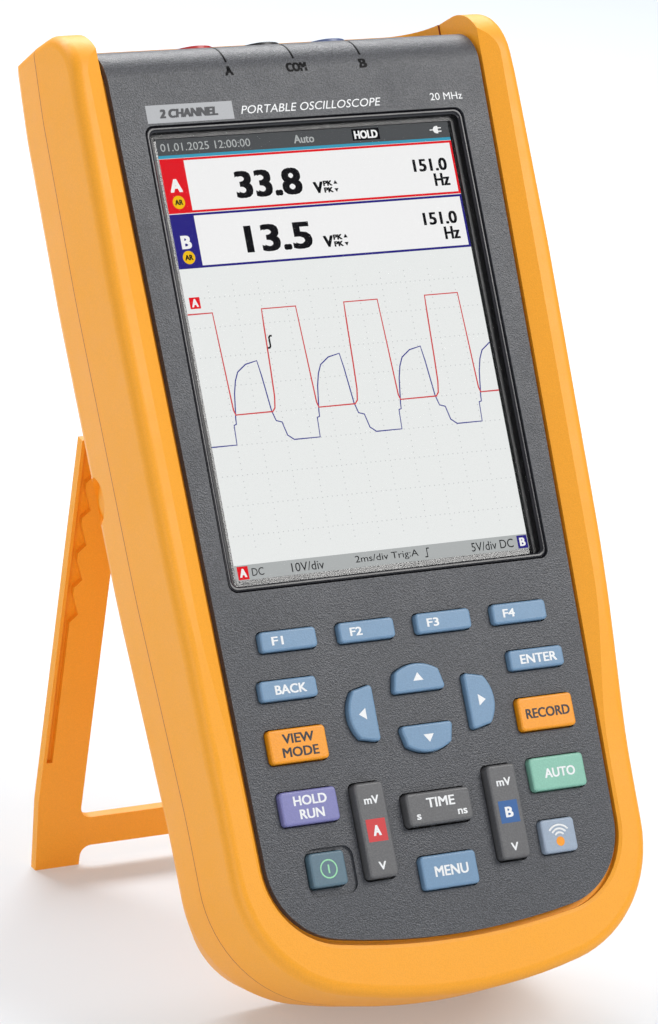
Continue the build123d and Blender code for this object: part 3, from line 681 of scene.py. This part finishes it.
# the two traces: a square wave and a rounded one that answers it
PERIOD = 24.15
FIRST_FALL = -36.1
RED_HIGH, RED_LOW, BLUE_LOW = 11.5, -15.3, -23.0
RED_STEP = (
    (0.0, RED_HIGH), (0.9, -14.0), (1.3, RED_LOW), (12.0, RED_LOW), (12.8, -14.4),
    (13.3, -11.5), (13.6, -5.0), (14.0, 7.0), (14.2, RED_HIGH),
)
BLUE_STEP = (
    (0.1, BLUE_LOW), (0.3, -17.9), (1.0, -17.7), (1.1, -16.3), (2.1, -9.7),
    (3.0, -6.5), (4.1, -4.3), (6.7, -2.5), (10.1, -1.8), (10.7, -5.7),
    (11.7, -15.0), (12.5, -17.7), (14.1, -18.2), (15.0, -21.7), (16.7, BLUE_LOW),
)
red_line, blue_line = [(-HALF_W, RED_HIGH)], [(-HALF_W, BLUE_LOW)]
for cycle in range(4):
    start = FIRST_FALL + cycle * PERIOD
    red_line += [(start + px, py) for px, py in RED_STEP]
    blue_line += [(start + px, py) for px, py in BLUE_STEP]


def clipped(points, edge):
    """The part of a trace that lies on the screen."""
    kept = []
    for (x0, y0), (x1, y1) in zip(points, points[1:]):
        if x0 > edge:
            break
        kept.append((x0, y0))
        if x1 > edge:
            kept.append((edge, y0 + (y1 - y0) * (edge - x0) / (x1 - x0)))
    return kept


shown("screen_trace_a", 3, [stroke(clipped(red_line, HALF_W), 0, 0.40)], trace_red)
shown("screen_trace_b", 2, [stroke(clipped(blue_line, HALF_W), 0, 0.34)], trace_blue)
shown("screen_marker_a", 2, [bar(-42.0, -39.0, 12.9, 15.9)], lit_red)
shown("screen_marker_letter", 3, [words_at("A", -40.5, 14.4, 2.1, 1.9, 0.12)], lit_paper)
trigger_sign = [(-22.2, 1.2), (-21.6, 1.2), (-21.3, 1.6), (-21.3, 3.9), (-21.0, 4.3), (-20.4, 4.3)]
shown("screen_trigger", 4, [stroke(trigger_sign, 0, 0.5)], lit_black)
ROW_TOP, ROW_STEP, DOT_HALF = 15.5, 7.72, 0.13
ROWS = [ROW_TOP - ROW_STEP * k for k in range(9)]
grid_dots = []
for column in range(1, 12):
    x = -HALF_W + column * HALF_W / 6
    for step in range(45):
        y = ROWS[0] + 3.0 - step * 1.544
        grid_dots.append(bar(x - DOT_HALF, x + DOT_HALF, y - DOT_HALF, y + DOT_HALF))
for y in ROWS:
    for step in range(1, 60):
        x = -HALF_W + step * HALF_W / 30
        if step % 5:
            grid_dots.append(bar(x - DOT_HALF, x + DOT_HALF, y - DOT_HALF, y + DOT_HALF))
grid_grey = screen_ink("grid_grey", (0.60, 0.62, 0.62))
shown("screen_grid", 1, grid_dots, grid_grey)
shown("screen_foot_a", 2, [bar(-42.5, -39.4, -57.4, -54.0)], lit_red)
shown("screen_foot_b", 2, [bar(40.0, 43.0, -57.4, -54.0)], lit_navy)
foot_letters = [
    words_at("A", -40.95, FOOT_LEVEL, 2.2, 2.0, 0.14),
    words_at("B", 41.5, FOOT_LEVEL, 2.2, 1.7, 0.14),
]
shown("screen_foot_letters", 3, foot_letters, lit_paper)
shown(
    "screen_foot_words",
    2,
    [
        words_at("DC", -38.4, FOOT_LEVEL, 2.0, 3.4, 0.0, "LEFT"),
        words_at("10V/div", -27.0, FOOT_LEVEL, 2.3, 9.4, 0.0, "LEFT"),
        words_at("2ms/div Trig:A", -8.4, FOOT_LEVEL, 2.3, 18.6, 0.0, "LEFT"),
        stroke([(12.1, -56.8), (12.8, -56.8), (12.8, -54.6), (13.5, -54.6)], 0, 0.35),
        words_at("5V/div DC", 26.1, FOOT_LEVEL, 2.3, 12.6, 0.0, "LEFT"),
    ],
    lit_black,
)

window_clear = bpy.data.materials.new("window_clear")
window_clear.use_nodes = True
window_tree = window_clear.node_tree
window_shader = window_tree.nodes["Principled BSDF"]
window_shader.inputs["Base Color"].default_value = (0.05, 0.05, 0.055, 1)
window_shader.inputs["Alpha"].default_value = 0.02
window_shader.inputs["Specular IOR Level"].default_value = 0.2
smudge = remap_node(window_tree, noise_node(window_tree, 22.0, 4.0).outputs["Fac"], 0.45, 0.75, 0.06, 0.14)
window_tree.links.new(smudge, window_shader.inputs["Roughness"])
dress(window_clear, "display_lens")

rubber_black = moulded_plastic("rubber_black", (0.012, 0.012, 0.014), 0.38, 0.3, 0.08, 0.1, 0.3)
dress(rubber_black, "lens_gasket", "case_seal")

# ---- Window surround ------------------------------------------------------------------
# A black bevelled frame moulded on the window's rim, with a polished inner lip.
rim_low, rim_high = case_box("display_lens")
rim_black = moulded_plastic("rim_black", (0.010, 0.010, 0.014), 0.22, 0.5, 0.03, 0.05, 0.2)


def rounded_loop(shape, half_w, half_h, radius, centre_y, z, steps=6):
    """A closed loop of vertices round a rounded rectangle."""
    spots = []
    for corner in range(4):
        sx, sy = ((1, 1), (-1, 1), (-1, -1), (1, -1))[corner]
        for px, py in arc_points(
            sx * (half_w - radius),
            centre_y + sy * (half_h - radius),
            radius,
            90 * corner,
            90 * corner + 90,
            steps,
        ):
            spots.append(shape.verts.new((px, py, z)))
    return [shape.edges.new((a, b)) for a, b in zip(spots, spots[1:] + spots[:1])]


surround = bmesh.new()
rim_middle_y = (rim_low.y + rim_high.y) / 2
rim_w, rim_h = (rim_high.x - rim_low.x) / 2, (rim_high.y - rim_low.y) / 2
# profile of the lip: how far in from the window's edge, how high, and its corner radius
LIP = (
    (0.1, -0.9, 2.3), (0.1, 0.35, 2.3), (0.5, 0.5, 2.1), (1.1, 0.45, 1.8), (1.4, 0.15, 1.6),
    (1.5, 0.02, 1.5),
)
rings = [
    rounded_loop(surround, rim_w - inset, rim_h - inset, corner_round, rim_middle_y, rim_high.z + rise)
    for inset, rise, corner_round in LIP
]
for outer_ring, inner_ring in zip(rings, rings[1:]):
    bmesh.ops.bridge_loops(surround, edges=outer_ring + inner_ring)
bmesh.ops.recalc_face_normals(surround, faces=surround.faces)
surround_data = bpy.data.meshes.new("window_surround")
surround.to_mesh(surround_data)
surround.free()
printed("window_surround", surround_data, rim_black, "case")
for face in surround_data.polygons:
    face.use_smooth = True

# ---- Panel prints ---------------------------------------------------------------------
# A plain grey title strip, the instrument's title and bandwidth, and lines that lead from the
# input letters over the roll to their sockets.
panel_face_z = case_box("display_lens")[1].z + 0.8
panel_top_y = case_box("front_panel")[1].y
strip_grey = legend_ink("strip_grey", (0.40, 0.41, 0.43))
strip = patch(box_corners(-46.2, -21.0, 230.6, 235.4), panel_face_z)
printed("title_strip", strip, strip_grey, "case")
strip_z = panel_face_z + INK_FILM
strip_words = lettering("2 CHANNEL", -34.0, 233.0, strip_z, 2.4, 17.0, bold=0.22, slant=0.15)
printed("title_strip_words", strip_words, dark_ink, "case")
title = [
    lettering("PORTABLE OSCILLOSCOPE", -18.8, 232.8, panel_face_z, 2.2, 42.0, slant=0.3, align="LEFT"),
    lettering("20 MHz", 43.2, 233.2, panel_face_z, 2.0, 9.8),
]
printed("title_words", joined(title), white_ink, "case")

# each socket's letters and its line stand on the roll, measured back from the panel's top
ROLL_RADIUS = 10.5
LABEL_BACK, LINE_BACK, LINE_STEP, LINE_POINTS = 8.9, 6.3, 0.5, 22
SOCKET_PLACES = (("A", -20.0, 2.5), ("COM", 0.0, 6.2), ("B", 20.0, 2.4))


def bent_over(data):
    """Wrap a flat print that runs past the start of the panel's roll round the roll."""
    start_y, start_z = panel_top_y - ROLL_RADIUS, panel_face_z - ROLL_RADIUS
    for vertex in data.vertices:
        run = vertex.co.y - start_y
        if run > 0:
            reach = ROLL_RADIUS + vertex.co.z - panel_face_z
            vertex.co.y = start_y + reach * math.sin(run / ROLL_RADIUS)
            vertex.co.z = start_z + reach * math.cos(run / ROLL_RADIUS)
    return data


socket_ink = legend_ink("socket_ink", (0.003, 0.003, 0.004))
socket_ink_shader = socket_ink.node_tree.nodes["Principled BSDF"]
socket_ink_shader.inputs["Specular IOR Level"].default_value = 0.1
for letters, place_x, wide in SOCKET_PLACES:
    line_start = panel_top_y - LINE_BACK
    lead_line = [(place_x, line_start + LINE_STEP * step) for step in range(LINE_POINTS)]
    label = [
        lettering(letters, place_x, panel_top_y - LABEL_BACK, panel_face_z, 2.6, wide, bold=0.2),
        stroke(lead_line, panel_face_z, 0.6),
    ]
    printed("socket_label_" + letters.lower(), bent_over(joined(label)), socket_ink, "case")

# ---- Sockets --------------------------------------------------------------------------
# Shrouded test-lead sockets in red, black and slate blue, with plated sleeves inside.
socket_red = moulded_plastic("socket_red", (0.60, 0.03, 0.03), 0.3, 0.4, 0.05, 0.02, 0.2)
socket_black = moulded_plastic("socket_black", (0.018, 0.018, 0.02), 0.35, 0.4, 0.06, 0.05, 0.3)
socket_blue = moulded_plastic("socket_blue", (0.12, 0.16, 0.33), 0.3, 0.4, 0.05, 0.02, 0.2)
dress(socket_red, "input_a_shroud")
dress(socket_black, "common_shroud", "dc_socket", "beeper", "board_connector")
dress(socket_black, "memory_card", "battery_pack")
dress(socket_blue, "input_b_shroud")


def plated_metal(name, colour, rough, brushed=0.25):
    """Plated or brushed metal with fine drawn lines and cloudy gloss."""
    material = bpy.data.materials.new(name)
    material.use_nodes = True
    tree = material.node_tree
    shader = tree.nodes["Principled BSDF"]
    shader.inputs["Metallic"].default_value = 1.0
    place = tree.nodes.new("ShaderNodeTexCoord").outputs["Object"]
    stretch = tree.nodes.new("ShaderNodeMapping")
    stretch.inputs["Scale"].default_value = (0.08, 1, 1)
    tree.links.new(place, stretch.inputs["Vector"])
    lines = noise_node(tree, 0.25, 3.0, stretch.outputs["Vector"]).outputs["Fac"]
    darker = tuple(c * 0.82 for c in colour)
    tree.links.new(mix_node(tree, lines, darker, colour), shader.inputs["Base Color"])
    tree.links.new(remap_node(tree, lines, 0.3, 0.7, rough - 0.08, rough + 0.1), shader.inputs["Roughness"])
    height = tree.nodes.new("ShaderNodeBump")
    height.inputs["Strength"].default_value = brushed
    height.inputs["Distance"].default_value = 0.00003
    tree.links.new(lines, height.inputs["Height"])
    tree.links.new(height.outputs["Normal"], shader.inputs["Normal"])
    return material


contact_gold = plated_metal("contact_gold", (0.86, 0.66, 0.33), 0.28)
screw_steel = plated_metal("screw_steel", (0.62, 0.62, 0.63), 0.32)
can_metal = plated_metal("can_metal", (0.72, 0.73, 0.74), 0.36, 0.15)
dress(contact_gold, "socket_sleeves", "battery_contacts", "dc_pin")
dress(screw_steel, "case_screws", "board_screws", "stand_pins", "door_screw_left", "door_screw_right")
dress(can_metal, "lcd_frame", "input_shield", "logic_shield", "card_socket", "wireless_module")

# ---- Inside ---------------------------------------------------------------------------
# Green circuit boards, the silicone dome sheet and the display's layers, screwed to posts
# of the rear shell and hardly seen from outside.
board_green = moulded_plastic("board_green", (0.015, 0.12, 0.05), 0.3, 0.8, 0.1, 0.1, 0.1, coat=0.3)
silicone_grey = moulded_plastic("silicone_grey", (0.42, 0.44, 0.46), 0.55, 0.6, 0.1, 0.03, 0.1)
glass_dark = moulded_plastic("glass_dark", (0.02, 0.022, 0.025), 0.12, 1.2, 0.01, 0.05, 0.1, coat=0.5)
film_white = moulded_plastic("film_white", (0.8, 0.8, 0.8), 0.4, 1.0, 0.02, 0.02, 0.1)
window_dark = moulded_plastic("window_dark", (0.03, 0.006, 0.01), 0.12, 0.8, 0.01, 0.05, 0.2, coat=0.5)
dress(board_green, "main_board", "keypad_board")
dress(silicone_grey, "keypad_mat")
dress(glass_dark, "lcd_panel")
dress(film_white, "backlight")
dress(window_dark, "optical_window")
